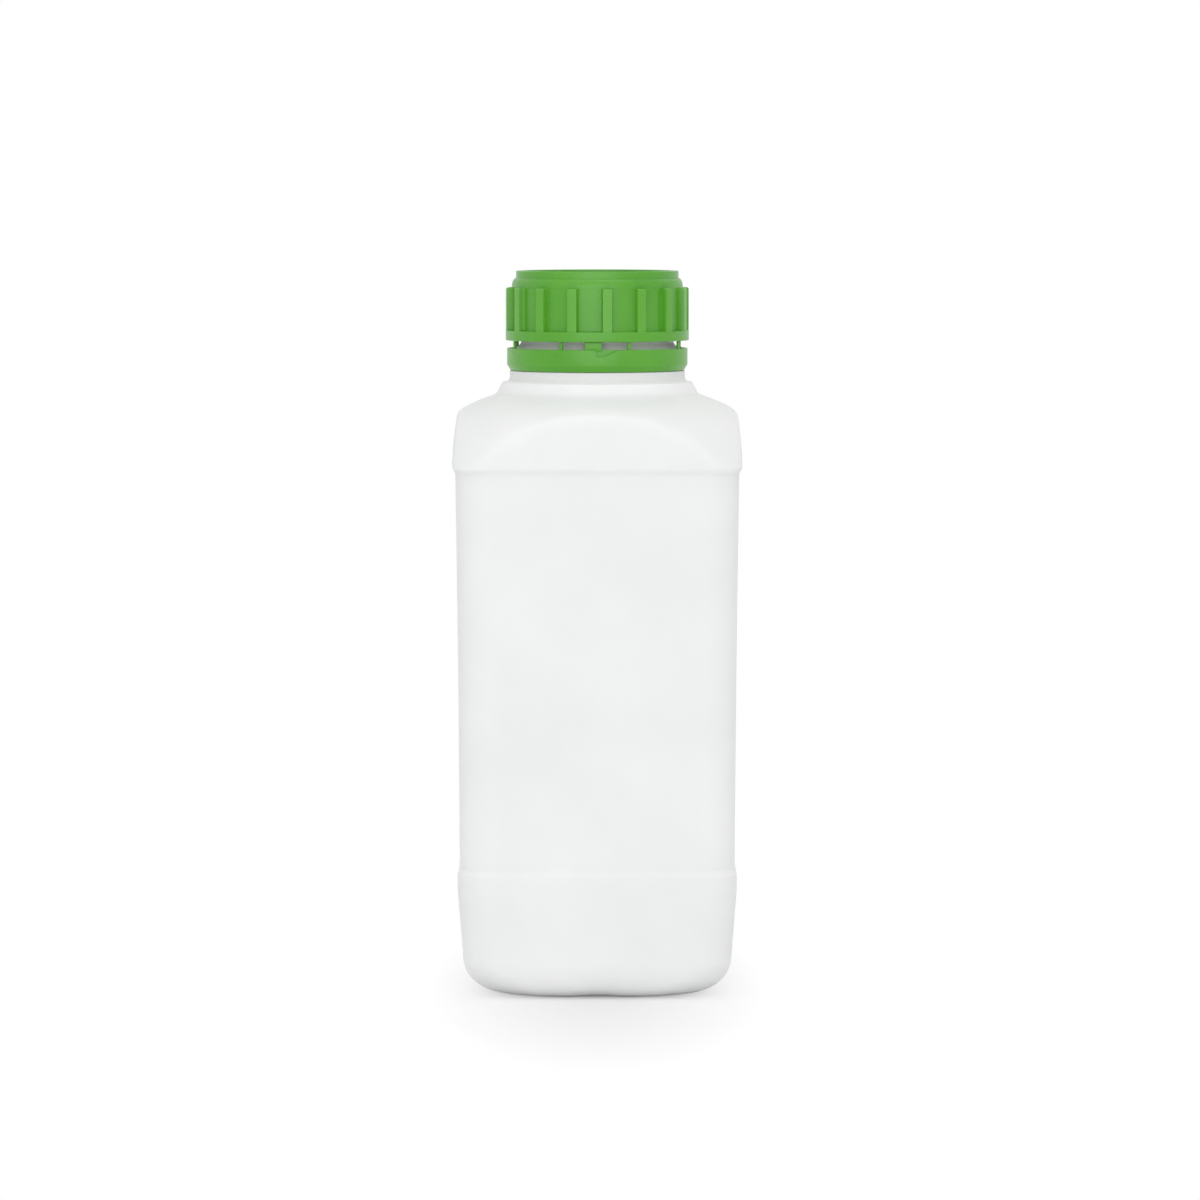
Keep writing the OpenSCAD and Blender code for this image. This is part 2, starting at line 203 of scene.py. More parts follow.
def naturalPolyethylene():
    look = {
        "clear": srgb(0.945, 0.947, 0.944),
        "dense": srgb(0.925, 0.927, 0.926),
        # painted shade for the neck under the ring and cap
        "neck": srgb(0.885, 0.89, 0.886),
        "roughness": (0.42, 0.54),
        "cloudScale": 26.0,
        "grainScale": 700.0,
        "waveScale": 60.0,
        "depth": 0.004,
    }
    n = Nodes("NaturalPolyethylene")
    cloud = n.noise(look["cloudScale"], 3.0)
    plain = n.blendColour(n.spread(cloud, 0.35, 0.65, 0, 1), look["clear"], look["dense"])
    # the neck above the collar is painted a little greyer, a painted shade for the shadow under the ring
    # and the cap
    neckShadeMask = n.spread(n.height(), collarTop * mm, (collarTop + 0.6) * mm, 0, 1)
    n.feed("Base Color", n.blendColour(neckShadeMask, plain, look["neck"]))
    grain = n.noise(look["grainScale"], 3.0, 0.6)
    low, high = look["roughness"]
    n.feed("Roughness", n.spread(grain, 0.3, 0.7, low, high))
    wave = n.bump(n.noise(look["waveScale"], 1.0), 0.25, 0.0004)
    n.feed("Normal", n.bump(grain, 0.12, 0.00006, wave))
    n.shader.inputs["Subsurface Weight"].default_value = 0.3
    n.shader.inputs["Subsurface Radius"].default_value = (1.0, 0.95, 0.9)
    n.shader.inputs["Subsurface Scale"].default_value = look["depth"]
    n.shader.inputs["IOR"].default_value = 1.5
    n.shader.inputs["Specular IOR Level"].default_value = 0.2
    return n.material


def greenPolypropylene():
    look = {
        "fresh": srgb(0.335, 0.635, 0.155),
        "deep": srgb(0.305, 0.61, 0.125),
        # painted highlight on the outsides of the ribs
        "rib": srgb(0.35, 0.645, 0.175),
        "roughness": (0.26, 0.38),
        "cloudScale": 55.0,
        "grainScale": 900.0,
        "depth": 0.0012,
    }
    n = Nodes("GreenPolypropylene")
    cloud = n.spread(n.noise(look["cloudScale"], 2.0), 0.35, 0.65, 0, 1)
    plain = n.blendColour(cloud, look["fresh"], look["deep"])
    # the outsides of the cap's ribs are painted a little paler than its wall, a painted highlight where
    # they catch more light
    outside = n.spread(n.radius(), (capWall + 0.8) * mm, (flangeRadius - 0.1) * mm, 0, 1)
    above = n.spread(n.height(), (flangeTop + 0.1) * mm, (flangeTop + 0.5) * mm, 0, 1)
    n.feed("Base Color", n.blendColour(n.product(outside, above), plain, look["rib"]))
    grain = n.noise(look["grainScale"], 3.0, 0.6)
    low, high = look["roughness"]
    n.feed("Roughness", n.spread(grain, 0.3, 0.7, low, high))
    n.feed("Normal", n.bump(grain, 0.02, 0.00003))
    n.shader.inputs["Subsurface Weight"].default_value = 0.15
    n.shader.inputs["Subsurface Radius"].default_value = (0.6, 1.0, 0.4)
    n.shader.inputs["Subsurface Scale"].default_value = look["depth"]
    n.shader.inputs["IOR"].default_value = 1.49
    return n.material


def sealingFoam():
    look = {"pale": srgb(0.93, 0.92, 0.87), "shade": srgb(0.88, 0.865, 0.8), "cellScale": 1400.0}
    n = Nodes("SealingFoam")
    voronoi = n.add("ShaderNodeTexVoronoi", {"Vector": n.coords, "Scale": look["cellScale"]})
    cells = voronoi.outputs["Distance"]
    n.feed("Base Color", n.blendColour(n.spread(cells, 0.1, 0.6, 0, 1), look["shade"], look["pale"]))
    n.feed("Normal", n.bump(cells, 0.3, 0.00008))
    n.shader.inputs["Roughness"].default_value = 0.7
    return n.material


bottle = {
    "segments": 256,
    "crowding": 0.5,
    "topDraft": 1.5,
    "cornerRadius": 10.5,
    "wall": 1.2,
    "bandHeight": 37.8,
    "labelHeight": 118.6,
    "shoulderHeight": 21.4,
    "collarHeight": 4.0,
    "seatHeight": 3.3,
    "footFillet": 12.2,
    "footCorner": 17.6,
    "footTaper": 1.6,
    "taperStart": 32.0,
    "footRing": 3.0,
    "pushUp": 2.6,
    "notchHeight": 0.4,
    "notchWidth": 14.0,
    "recessBottom": 0.65,
    "recessTop": 0.9,
    "panelSink": 0.15,
    "stepHeight": 2.4,
    "arcRadius": 40.4,
    "arcCentre": 20.4,
    "shoulderTop": 30.2,
    "archBlend": 2.8,
    "archLean": 0.8,
    "archHeight": 14.0,
    "archCrest": 0.16,
    "crestReach": 1.1,
    "collarBlend": 2.8,
    "collarRadius": 28.2,
    "neckRadius": 22.8,
    "neckWall": 2.0,
    "grooveRadius": 24.2,
    "beadRadius": 25.4,
    "seatRadius": 26.2,
    "grooveHeight": 3.8,
    "beadHeight": 0.9,
    "beadSlope": 2.1,
    "grooveSlope": 1.4,
    "threadTop": 2.4,
    "threadHeight": 1.3,
    "threadWidth": 2.4,
    "threadFlank": 0.45,
    "pitch": 5.0,
    "turns": 1.9,
    "seamHeight": 0.14,
    "seamWidth": 0.5,
    "seamFoot": 0.4,
    "waviness": 0.10,
    "waveSink": 0.04,
    "waveScale": (38, 38, 26),
    "waveOrigin": (3.1, 7.7, 1.9),
}
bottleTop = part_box("bottle")[1]
ridgeHalf = bottleTop.x / mm
lipHeight = bottleTop.z / mm
labelFoot = bottle["bandHeight"]
ridgeHeight = labelFoot + bottle["labelHeight"]
collarFoot = ridgeHeight + bottle["shoulderHeight"]
collarTop = collarFoot + bottle["collarHeight"]
seatHeight = collarTop + bottle["seatHeight"]
grooveTop = seatHeight + bottle["grooveHeight"]
beadTop = grooveTop + bottle["beadHeight"]
threadFoot = lipHeight - bottle["threadTop"] - bottle["turns"] * bottle["pitch"]
arcHeight = collarFoot - math.sqrt(
    bottle["arcRadius"] ** 2 - (bottle["shoulderTop"] - bottle["arcCentre"]) ** 2)


def recessDepth(z):
    b = bottle
    t = min(1.0, max(0.0, (z - labelFoot) / b["labelHeight"]))
    depth = b["recessBottom"] + (b["recessTop"] - b["recessBottom"]) * t
    depth += b["panelSink"] * 4 * t * (1 - t)
    half = b["stepHeight"] / 2
    return depth * ramp(labelFoot - half, labelFoot + half, z) * (
        1 - ramp(ridgeHeight - half, ridgeHeight + half, z))


def halfWidth(z, t):
    b = bottle
    fillet = b["footFillet"]
    inset = t
    if z < fillet:
        inset = fillet - math.sqrt(max(0.0, (fillet - t) ** 2 - (fillet - z) ** 2))
    rise = min(1.0, max(0.0, (z - labelFoot) / b["labelHeight"]))
    draw = min(1.0, max(0.0, (b["taperStart"] - z) / (b["taperStart"] - fillet)))
    lean = b["archLean"] * (max(0.0, z - ridgeHeight) / b["archHeight"]) ** 2
    return ridgeHalf - b["topDraft"] * (1 - rise) - b["footTaper"] * draw - lean - recessDepth(z) - inset


def cornerRadius(z, t):
    b = bottle
    grown = b["cornerRadius"] + (b["footCorner"] - b["cornerRadius"]) * (1 - ramp(0, b["footFillet"], z))
    return max(1.0, grown - t)


def shoulderRadius(z, t):
    b = bottle
    if z < arcHeight:
        return 2 * ridgeHalf
    reach = b["arcRadius"] - t
    rise = min(abs(z - arcHeight), reach)
    arc = b["arcCentre"] + math.sqrt(reach ** 2 - rise ** 2)
    top = b["shoulderTop"]
    side = top - t + (b["collarRadius"] - top) * (z - collarFoot) / b["collarHeight"]
    return softMax(arc, side, b["collarBlend"])


def squareRadius(a, half, corner):
    b = abs((a + math.pi / 4) % (math.pi / 2) - math.pi / 4)
    c = half - corner
    if half * math.tan(b) <= c:
        return half / math.cos(b)
    m = c * (math.cos(b) + math.sin(b))
    return m + math.sqrt(max(0.0, m * m - 2 * c * c + corner * corner))


def skinRow(z, t=0.0, lift=0.0):
    # the blend is sharp at the ridge, which keeps its corners, and full just above it
    half, corner, limit = halfWidth(z, t), cornerRadius(z, t), shoulderRadius(z, t)
    step = bottle["stepHeight"]
    blend = 1 + (bottle["archBlend"] - 1) * ramp(ridgeHeight - step, ridgeHeight + 2 * step, z)
    crest = bottle["archCrest"] * ramp(ridgeHeight, ridgeHeight + 3, z) * ramp(0, 4, collarFoot - z)

    def radiusAt(a):
        # the edge of each arch stands a little proud
        flat = squareRadius(a, half, corner)
        return softMin(flat, limit, blend) + crest * math.exp(-((flat - limit) / bottle["crestReach"]) ** 2)

    def heightAt(a):
        if lift == 0.0:
            return z
        r = radiusAt(a)
        s = min(abs(r * math.cos(a)), abs(r * math.sin(a))) * 2 / bottle["notchWidth"]
        return z + (0.0 if s >= 1 else lift * bottle["notchHeight"] * (1 - s * s))

    return radiusAt, heightAt


def baseRow(half, corner, z):
    return (lambda a: squareRadius(a, half, corner)), z


def baseRows(t):
    b = bottle
    footIn = halfWidth(0, 0) - b["footRing"]
    # shares of the foot's half width, of its corner radius and of the hollow's height
    hollow = [
        (0.10, 0.10, 1.0),
        (0.35, 0.35, 0.99),
        (0.60, 0.60, 0.94),
        (0.80, 0.80, 0.82),
        (0.90, 0.88, 0.62),
    ]
    rows = [
        baseRow(footIn * half, b["footCorner"] * corner, b["pushUp"] * rise + t)
        for half, corner, rise in hollow
    ]
    return rows + [
        baseRow(footIn - 1.3 - t, b["footCorner"] - 1 - t, b["pushUp"] * 0.30 + t),
        baseRow(footIn - 0.6 - t, b["footCorner"] - 0.6 - t, 0.30 + t),
        baseRow(footIn - t, b["footCorner"] - t, 0.06 + t),
        baseRow(footIn + 0.5 - t, b["footCorner"] - t, t),
    ]


def shoulderHeights(count):
    # even steps along the arc of the shoulder
    reach = bottle["arcRadius"]
    low = math.asin((ridgeHeight + bottle["stepHeight"] - arcHeight) / reach)
    high = math.asin((collarFoot - arcHeight) / reach)
    return [arcHeight + reach * math.sin(low + (high - low) * i / count) for i in range(count + 1)]


def wallHeights(stepRows):
    half = bottle["stepHeight"] / 2
    steps = [half * (2 * i / stepRows - 1) for i in range(stepRows + 1)]
    heights = [18.0, 25.0, bottle["taperStart"]]
    heights += [labelFoot + s for s in steps]
    heights += [labelFoot + bottle["labelHeight"] * i / 12 for i in range(1, 12)]
    heights += [ridgeHeight + s for s in steps]
    return heights


def outerRows():
    fillet = bottle["footFillet"]
    rows = baseRows(0.0)
    rows.append(skinRow(0.0, 0.0, 0.5))
    for i in range(1, 17):
        a = math.radians(90 * i / 16)
        rows.append(skinRow(fillet * (1 - math.cos(a)), 0.0, math.cos(a)))
    rows += [skinRow(z) for z in wallHeights(12)]
    rows += [skinRow(z) for z in shoulderHeights(36)]
    rows += [skinRow(collarFoot + s) for s in (0.3, 0.7, 1.2, 1.8, 2.4)]
    return rows


def innerRows():
    t = bottle["wall"]
    fillet = bottle["footFillet"]
    rows = baseRows(t)
    for i in range(1, 7):
        a = math.radians(90 * i / 6)
        rows.append(skinRow(fillet - (fillet - t) * math.cos(a), t))
    rows += [skinRow(z, t) for z in wallHeights(4)]
    rows += [skinRow(z, t) for z in shoulderHeights(12)]
    return rows[::-1]


def threadLift(a, z, foot, startAngle, turns):
    # height of the thread's ridge over its wall, with soft flanks and faded ends
    b = bottle
    share = ((a - startAngle) / (2 * math.pi)) % 1.0
    k = round((z - foot) / b["pitch"] - share)
    along = k + share
    if along < 0 or along > turns:
        return 0.0
    away = abs(z - foot - along * b["pitch"])
    rootHalf = b["threadWidth"] / 2
    crestHalf = rootHalf - b["threadFlank"] * b["threadHeight"]
    fade = ramp(0.0, 0.12, min(along, turns - along))
    return b["threadHeight"] * fade * (1 - ramp(crestHalf - 0.1, rootHalf, away))


def neckRows():
    b = bottle
    lip = [
        (b["collarRadius"] + 0.55, collarFoot + 2.9),
        (b["collarRadius"] + 0.05, collarTop - 0.1),
        (b["seatRadius"] + 0.9, collarTop + 0.1),
        (b["seatRadius"] + 0.25, collarTop + 0.45),
        (b["seatRadius"], collarTop + 1.2),
        (b["seatRadius"], seatHeight),
        (b["grooveRadius"], seatHeight),
        (b["grooveRadius"], grooveTop),
        (b["beadRadius"], grooveTop),
        (b["beadRadius"], beadTop),
        (b["grooveRadius"], beadTop + b["beadSlope"]),
        (b["neckRadius"], beadTop + b["beadSlope"] + b["grooveSlope"]),
        (b["neckRadius"], threadFoot - 2.0),
    ]
    rows = [(p.x, p.y) for p in roundedLine(lip, 0.35)]
    low, high = threadFoot - 1.6, lipHeight - 0.9
    count = 66
    for i in range(count + 1):
        z = low + (high - low) * i / count
        rows.append(((lambda a, z=z: b["neckRadius"] + threadLift(a, z, threadFoot, 0.0, b["turns"])), z))
    # the inside of the neck follows the outside at a heavier wall
    bore = b["neckRadius"] - b["neckWall"]
    mouth = [
        (b["neckRadius"], lipHeight - 0.8),
        (b["neckRadius"], lipHeight),
        (bore, lipHeight),
        (bore, seatHeight + 8.0),
        (b["grooveRadius"] - b["neckWall"], seatHeight + 6.4),
        (b["grooveRadius"] - b["neckWall"], seatHeight + 0.4),
        (b["seatRadius"] - b["neckWall"], seatHeight - 1.8),
        (b["seatRadius"] - b["neckWall"], collarFoot + 2.4),
        (b["collarRadius"] - b["wall"], collarFoot + 1.2),
    ]
    rows += [(p.x, p.y) for p in roundedLine(mouth, 0.45)]
    return rows


def raiseSeam(bm):
    # the mould's parting line, a fine ridge over both sides, along the plane through X
    half = bottle["seamWidth"] * mm / 2
    for offset in (-half, 0.0, half):
        everything = bm.verts[:] + bm.edges[:] + bm.faces[:]
        bmesh.ops.bisect_plane(bm, geom=everything, dist=1e-6, plane_co=(0, offset, 0), plane_no=(0, 1, 0))
    bm.normal_update()
    wallReach = (bottle["neckRadius"] - 0.4) * mm
    for v in bm.verts:
        outward = v.normal.x * v.co.x + v.normal.y * v.co.y > 0 or v.normal.z < -0.5
        outer = math.hypot(v.co.x, v.co.y) > wallReach and v.co.z < collarTop * mm
        if abs(v.co.y) < 1e-5 and outward and outer and v.co.z > bottle["seamFoot"] * mm:
            v.co += v.normal * bottle["seamHeight"] * mm


def waver(bm):
    # blown walls are never quite flat
    b = bottle
    scaleX, scaleY, scaleZ = b["waveScale"]
    for v in bm.verts:
        z = v.co.z / mm
        share = ramp(14, 30, z) * (1 - ramp(ridgeHeight - 6, ridgeHeight + 14, z))
        if share > 0:
            spot = Vector((v.co.x * scaleX, v.co.y * scaleY, v.co.z * scaleZ)) + Vector(b["waveOrigin"])
            swell = noise.noise(spot)
            away = Vector((v.co.x, v.co.y, 0)).normalized()
            v.co += away * (swell * share * b["waviness"] * mm - b["waveSink"] * mm * share)


def keepInside(bm):
    # the seam and the swell never pass the ridge's flats
    for v in bm.verts:
        v.co.x = min(bottleTop.x, max(-bottleTop.x, v.co.x))
        v.co.y = min(bottleTop.y, max(-bottleTop.y, v.co.y))


def makeBottle():
    bm = openCircle(bottle["segments"], bottle["crowding"])
    first, last = stackRings(bm, outerRows() + neckRows() + innerRows())
    closeEnd(bm, first)
    closeEnd(bm, last)
    bmesh.ops.recalc_face_normals(bm, faces=bm.faces)
    waver(bm)
    raiseSeam(bm)
    keepInside(bm)
    piece = makePiece("bottle_shell", bm, "container", naturalPolyethylene())
    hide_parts("bottle")
    print("bottle:", len(piece.data.polygons), "faces")


cap = {
    "segments": 480,
    "wall": 1.1,
    "clearance": 0.4,
    "ribDepth": 1.8,
    "ribWidth": 3.0,
    "ribs": 16,
    "ribPhase": 6.4,
    "ribTurn": 3.3,
    "ribFlank": (0.35, 0.45),
    "ribLength": 12.8,
    "flangeHeight": 3.0,
    "flangeRound": 0.45,
    "plate": 1.5,
    "rimWidth": 1.8,
    "rimInset": 1.3,
    "shoulderHeight": 2.7,
    "shoulderRound": 0.9,
    "shoulderShare": 0.92,
    "shoulderRows": 8,
    "threadTurns": 1.4,
    "threadPlay": 0.35,
}
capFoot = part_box("screw_cap")[0].z / mm
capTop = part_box("screw_cap")[1].z / mm
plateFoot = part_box("cap_liner")[1].z / mm
capBore = bottle["neckRadius"] + bottle["threadHeight"] + cap["clearance"]
capWall = capBore + cap["wall"]
flangeRadius = capWall + cap["ribDepth"]
flangeTop = capFoot + cap["flangeHeight"]
ribTop = flangeTop + cap["ribLength"]


def ribShare(a):
    # 1 over a rib, 0 between ribs, with steep drafted flanks that reach a part of a degree to each side
    step = 360 / cap["ribs"]
    away = abs((fromFront(a) - cap["ribPhase"] + step / 2) % step - step / 2)
    half = math.degrees(cap["ribWidth"] / 2 / (capWall + cap["ribDepth"] / 2))
    inward, outward = cap["ribFlank"]
    return 1 - ramp(half - inward, half + outward, away)


def ribWarp(a):
    # crowds the circle's points at the flanks of the ribs, whose half width is ribTurn in degrees
    step = 360 / cap["ribs"]
    deg = fromFront(a) - cap["ribPhase"]
    k = math.floor(deg / step + 0.5)
    t = (deg - k * step) / step * 2
    half = cap["ribTurn"] / (step / 2)
    s = abs(t)
    knots = [(0, 0), (0.22, half - 0.075), (0.58, half + 0.09), (0.70, half + 0.22), (1, 1)]
    for (x0, y0), (x1, y1) in zip(knots, knots[1:]):
        if s <= x1:
            s = y0 + (y1 - y0) * (s - x0) / (x1 - x0)
            break
    deg = k * step + math.copysign(s, t) * step / 2 + cap["ribPhase"]
    return math.radians(deg - 90)


def capRows():
    c = cap
    rim = capWall - c["rimInset"]
    capRound = c["shoulderRound"]
    shoulderTop = ribTop + c["shoulderHeight"]
    top = [
        (hub, plateFoot + c["plate"]),
        (rim - c["rimWidth"], plateFoot + c["plate"]),
        (rim - c["rimWidth"], capTop),
        (rim, capTop),
        (rim, shoulderTop),
        (capWall - capRound, shoulderTop),
    ]
    rows = [(p.x, p.y) for p in roundedLine(top, 0.35)]
    count = c["shoulderRows"]
    for i in range(1, count + 1):
        a = math.radians(90 * (1 - i / count))
        rise = c["shoulderHeight"] * math.sin(a) * c["shoulderShare"] + 0.02
        rows.append((capWall - capRound * (1 - math.cos(a)), ribTop + rise))

    def ribbed(z, share, base):
        return (lambda a: max(base, capWall + (flangeRadius - capWall) * share * ribShare(a))), z

    # the ribs' top ends round over
    rows.append((capWall, ribTop + 0.05))
    for share, drop in ((0.25, 0.0), (0.7, 0.03), (0.86, 0.12), (0.96, 0.3), (1.0, 0.6)):
        rows.append(ribbed(ribTop - drop, share, capWall))
    for i in range(1, 6):
        rows.append(ribbed(ribTop - 0.6 - (c["ribLength"] - 1.0) * i / 6, 1.0, capWall))
    # the wall turns out into the flange between the ribs
    depth = c["ribDepth"]
    edgeRound = c["flangeRound"]
    for base, rise in ((0.0, 0.45), (0.06, 0.2), (0.25, 0.06), (0.8, 0.02)):
        rows.append(ribbed(flangeTop + rise, 1.0, capWall + base))
    for i in range(6):
        a = math.radians(18 * i)
        base = depth - edgeRound * (1 - math.sin(a))
        rows.append(ribbed(flangeTop - edgeRound * (1 - math.cos(a)), 1.0, capWall + base))
    rows.append((flangeRadius, capFoot + 1.2))
    foot = [
        (flangeRadius, capFoot + 0.9),
        (flangeRadius, capFoot),
        (capBore, capFoot),
        (capBore, capFoot + 0.8),
    ]
    rows += [(p.x, p.y) for p in roundedLine(foot, 0.25)]
    return rows


def capInnerRows():
    c = cap
    b = bottle
    play = b["threadWidth"] - b["threadFlank"] * (b["threadHeight"] + c["clearance"]) + c["threadPlay"]
    # the cap's thread starts a quarter of a turn round, and so a quarter of a pitch higher
    foot = threadFoot - play + 0.25 * b["pitch"]
    low, high = capFoot + 1.0, lipHeight - 1.4
    rows = []
    count = 44
    for i in range(count + 1):
        z = low + (high - low) * i / count
        rows.append(((lambda a, z=z: capBore - threadLift(a, z, foot, math.pi / 2, c["threadTurns"])), z))
    # a small bead keeps the sealing disc in the cap
    inside = [
        (capBore, lipHeight - 1.2),
        (capBore - 0.8, lipHeight - 0.7),
        (capBore, lipHeight - 0.3),
        (capBore, plateFoot),
        (hub, plateFoot),
    ]
    rows += [(p.x, p.y) for p in roundedLine(inside, 0.25)]
    return rows


def makeCap(material):
    bm = openCircle(cap["segments"])
    for v in bm.verts:
        a = ribWarp(angleOf(v))
        v.co = Vector((math.cos(a), math.sin(a), 0))
    first, last = stackRings(bm, capRows() + capInnerRows())
    closeEnd(bm, first)
    closeEnd(bm, last)
    piece = makePiece("ribbed_cap", bm, "cap", material)
    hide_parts("screw_cap")
    print("cap:", len(piece.data.polygons), "faces")


ring = {
    "segments": 720,
    "height": 6.6,
    "clearance": 0.4,
    "setBack": 0.4,
    "footInset": 1.0,
    "footHeight": 1.7,
    "gap": 2.3,
    "partedGap": 0.1,
    "hookLow": 1.8,
    "hookHigh": 2.8,
    "hookTop": 3.7,
    "bridges": 8,
    "bridgePhase": 21.0,
    "bridgeWidth": 1.1,
    "bridgeDepth": 0.9,
    "stopAngle": -2.5,
    "stopWidth": 5.0,
    "stopInset": 0.35,
    "postSink": 0.4,
    "postInset": 0.15,
    "postRound": 0.18,
    "tearAngle": -0.8,
    "tearDepth": 2.0,
    "tearWidth": 7.0,
    "tearFloor": 2.4,
    "tearSink": 0.5,
    "segmentsHeld": 12,
    "segmentPhase": -12.0,
    "slotWidth": 1.6,
}
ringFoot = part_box("tamper_ring")[0].z / mm
ringTop = ringFoot + ring["height"]
ringRadius = flangeRadius - ring["setBack"]
ringBore = bottle["beadRadius"] + ring["clearance"]


def tearDrop(a):
    # how far the top edge dips in the tear notch beside the stop block
    s = math.radians(fromFront(a) - ring["tearAngle"]) * ringRadius
    slope = 1 - (s - ring["tearFloor"]) / (ring["tearWidth"] - ring["tearFloor"])
    if slope < -0.2:
        return 0.0
    return ring["tearDepth"] * ramp(-0.15, 0.15, s) * softMin(softMax(slope, 0.0, 0.12), 1.0, 0.12)


def slotShare(a):
    step = 360 / ring["segmentsHeld"]
    away = abs((fromFront(a) - ring["segmentPhase"] + step / 2) % step - step / 2)
    half = math.degrees(ring["slotWidth"] / 2 / ringBore)
    return 1 - ramp(half - 0.3, half + 0.3, away)


def makeRing(material):
    bm = openCircle(ring["segments"])
    hook = bottle["grooveRadius"] + ring["clearance"]
    ledge = ringRadius - ring["tearSink"]
    outer = [
        (ringRadius - ring["footInset"], ringFoot),
        (ringRadius, ringFoot + ring["footHeight"]),
        (ringRadius, ringTop),
        (ledge, ringTop),
        (ringBore, ringTop),
        (ringBore, ringFoot + ring["hookTop"]),
        (hook, ringFoot + ring["hookHigh"]),
        (hook, ringFoot + ring["hookLow"]),
        (ringBore, ringFoot),
        (ringRadius - ring["footInset"], ringFoot),
    ]
    rows = []
    for p in roundedLine(outer[:-1], 0.3) + [Vector(outer[-1])]:
        radius, z = p.x, p.y
        high = ramp(ringTop - 4.5, ringTop - 0.4, z) if radius > ledge else 0.0
        height = (lambda a, z=z, high=high: z - tearDrop(a) * high)
        if radius < ringBore - 0.02:
            rows.append(((lambda a, r=radius: r + (ringBore - r) * slotShare(a)), height))
        else:
            rows.append((radius, height))
    first, last = stackRings(bm, rows)
    bmesh.ops.remove_doubles(bm, verts=bm.verts, dist=1e-6)
    addPosts(bm)
    piece = makePiece("tamper_band", bm, "container", material)
    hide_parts("tamper_ring")
    print("ring:", len(piece.data.polygons), "faces")


def addPosts(bm):
    # the stop block and the snapped bridges stand on the ring's top edge
    r = ring
    top = ringTop + r["gap"] - r["partedGap"]
    low = ringTop - r["postSink"]
    inside = ringBore + r["postInset"]
    posts = [(r["stopAngle"], r["stopWidth"], ringRadius - r["stopInset"])]
    for k in range(r["bridges"]):
        angle = r["bridgePhase"] + 360 * k / r["bridges"]
        posts.append((angle, r["bridgeWidth"], ringBore + r["bridgeDepth"]))
    for angle, width, outside in posts:
        turn = Matrix.Rotation(math.radians(angle - 90), 4, "Z")
        place = Matrix.Translation(Vector(((inside + outside) / 2, 0, (low + top) / 2)) * mm)
        size = Matrix.Diagonal((*(Vector((outside - inside, width, top - low)) * mm), 1.0))
        made = bmesh.ops.create_cube(bm, size=1.0, matrix=turn @ place @ size)
        edges = {e for v in made["verts"] for e in v.link_edges}
        bmesh.ops.bevel(
            bm, geom=list(edges), offset=r["postRound"] * mm, offset_type="OFFSET",
            segments=2, profile=0.5, affect="EDGES", material=-1)


def makeLiner():
    disc = {"inset": 0.5, "pressDepth": 0.12, "pressWidth": 1.2}
    low, high = lipHeight, plateFoot
    radius = capBore - disc["inset"]
    press = bottle["neckRadius"] - bottle["neckWall"] / 2
    line = [
        (hub, low),
        (press - disc["pressWidth"] - 0.3, low),
        (press - disc["pressWidth"], low + disc["pressDepth"]),
        (press + disc["pressWidth"], low + disc["pressDepth"]),
        (press + disc["pressWidth"] + 0.3, low),
        (radius, low),
        (radius, high),
        (hub, high),
    ]
    bm = openCircle(160)
    first, last = stackRings(bm, [(p.x, p.y) for p in roundedLine(line, 0.25)])
    closeEnd(bm, first)
    closeEnd(bm, last)
    piece = makePiece("sealing_disc", bm, "lift", sealingFoam())
    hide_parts("cap_liner")
    print("liner:", len(piece.data.polygons), "faces")


def makeFloor():
    # the floor burns out to white, soon beside the bottle and later in front of it
    floor = {
        "size": 6.0,
        "bounce": (0.95, 0.95, 0.95, 1),
        # the camera sees the floor greyer than it bounces light: painted shade that deepens the shadow near
        # the bottle
        "seen": (0.8, 0.8, 0.8, 1),
        "stretch": (4.2, 1, 0),
        "near": 0.05,
        "far": 0.21,
        "least": 0.2,
    }
    bm = bmesh.new()
    bmesh.ops.create_grid(bm, x_segments=1, y_segments=1, size=floor["size"] / 2)
    mesh = bpy.data.meshes.new("studioFloor")
    bm.to_mesh(mesh)
    bm.free()
    obj = bpy.data.objects.new("studioFloor", mesh)
    bpy.context.scene.collection.objects.link(obj)
    n = Nodes("PaleFloor")
    tree = n.tree
    n.shader.inputs["Roughness"].default_value = 0.9
    n.shader.inputs["Specular IOR Level"].default_value = 0.0
    place = n.add("ShaderNodeVectorMath", {0: n.coords, 1: floor["stretch"]}, operation="MULTIPLY")
    away = n.add("ShaderNodeVectorMath", {0: place.outputs[0]}, operation="LENGTH")
    fade = n.spread(away.outputs["Value"], floor["near"], floor["far"], floor["least"], 1.0)
    rays = n.add("ShaderNodeLightPath")
    # painted shade: camera rays see the darker floor colour
    n.feed("Base Color", n.blendColour(rays.outputs["Is Camera Ray"], floor["bounce"], floor["seen"]))
    either = n.add("ShaderNodeMath", {
        0: rays.outputs["Is Camera Ray"], 1: rays.outputs["Is Glossy Ray"]}, operation="MAXIMUM")
    seen = n.product(fade, either.outputs[0])
    white = n.add("ShaderNodeEmission", {"Color": (1, 1, 1, 1), "Strength": 1.0})
    mix = n.add("ShaderNodeMixShader")
    tree.links.new(seen, mix.inputs[0])
    tree.links.new(n.shader.outputs[0], mix.inputs[1])
    tree.links.new(white.outputs[0], mix.inputs[2])
    tree.links.new(mix.outputs[0], tree.nodes["Material Output"].inputs["Surface"])
    mesh.materials.append(n.material)


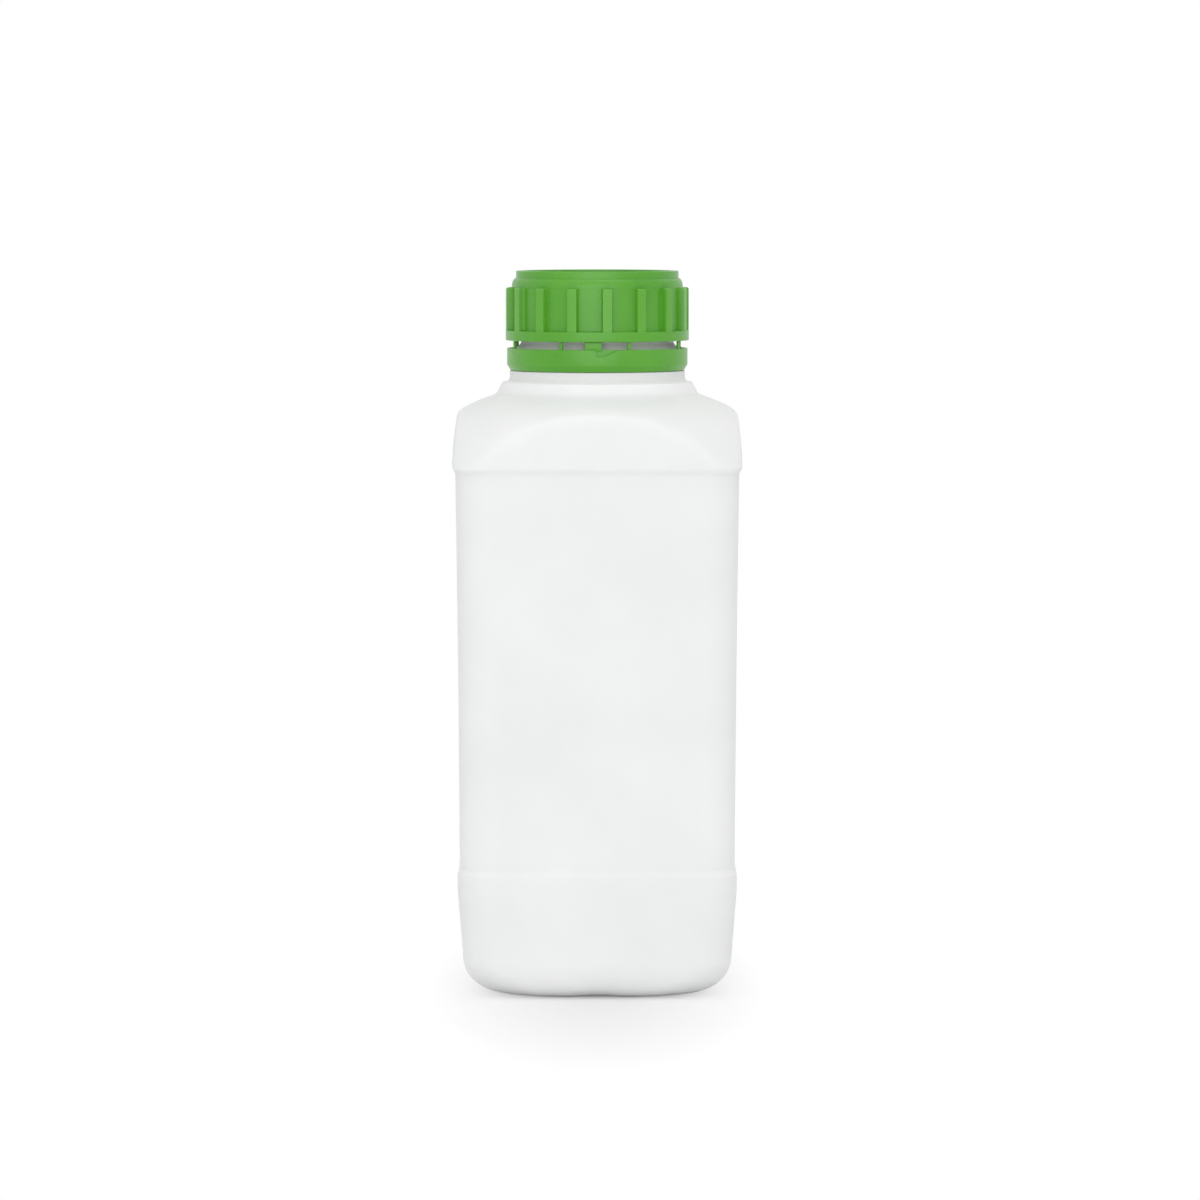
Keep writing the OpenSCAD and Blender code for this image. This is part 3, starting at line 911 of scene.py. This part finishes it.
def makeWorld():
    # the room is seen a little brighter than it lights the pieces
    room = {"ambient": 0.79, "seen": 1.0}
    world = bpy.data.worlds.new("PaleRoom")
    bpy.context.scene.world = world
    world.use_nodes = True
    tree = world.node_tree
    tree.nodes.clear()
    rays = tree.nodes.new("ShaderNodeLightPath")
    seen = rays.outputs["Is Camera Ray"]
    for kind in ("Is Glossy Ray", "Is Transmission Ray"):
        either = tree.nodes.new("ShaderNodeMath")
        either.operation = "MAXIMUM"
        tree.links.new(seen, either.inputs[0])
        tree.links.new(rays.outputs[kind], either.inputs[1])
        seen = either.outputs[0]
    mix = tree.nodes.new("ShaderNodeMixShader")
    tree.links.new(seen, mix.inputs[0])
    for socket, strength in ((1, room["ambient"]), (2, room["seen"])):
        background = tree.nodes.new("ShaderNodeBackground")
        background.inputs["Color"].default_value = (1, 1, 1, 1)
        background.inputs["Strength"].default_value = strength
        tree.links.new(background.outputs[0], mix.inputs[socket])
    out = tree.nodes.new("ShaderNodeOutputWorld")
    tree.links.new(mix.outputs[0], out.inputs["Surface"])


def softLight(name, place, aim, size, power):
    light = bpy.data.lights.new(name, "AREA")
    light.shape = "RECTANGLE"
    light.size, light.size_y = size
    light.energy = power
    obj = bpy.data.objects.new(name, light)
    obj.location = place
    direction = Vector(aim) - Vector(place)
    obj.rotation_euler = direction.to_track_quat("-Z", "Y").to_euler()
    bpy.context.scene.collection.objects.link(obj)


def makeLights():
    middle = (0, 0, 0.12)
    lights = {
        "frontLight": {"place": (-0.08, -1.4, 0.41), "size": (1.4, 0.8), "power": 4.4},
        "topLight": {"place": (0.05, -0.4, 1.35), "size": (1.0, 0.8), "power": 2.7},
    }
    for name, light in lights.items():
        softLight(name, light["place"], middle, light["size"], light["power"])


def makeCamera():
    view = {
        "place": (0.0, -2.2, 0.25),
        "tilt": 3.72,
        "lens": 220.5,
        "shift": (0.00225, 0.02571),
    }
    camera = bpy.data.cameras.new("frontCamera")
    camera.sensor_width = 36
    camera.lens = view["lens"]
    camera.shift_x, camera.shift_y = view["shift"]
    obj = bpy.data.objects.new("frontCamera", camera)
    obj.location = view["place"]
    obj.rotation_euler = (math.radians(90 - view["tilt"]), 0, 0)
    bpy.context.scene.collection.objects.link(obj)
    bpy.context.scene.camera = obj


makeCamera()
makeWorld()
makeLights()
makeFloor()
print("studio made")
makeBottle()
green = greenPolypropylene()
makeCap(green)
makeRing(green)
makeLiner()
bpy.context.scene.view_settings.view_transform = "Standard"
print("pieces made")
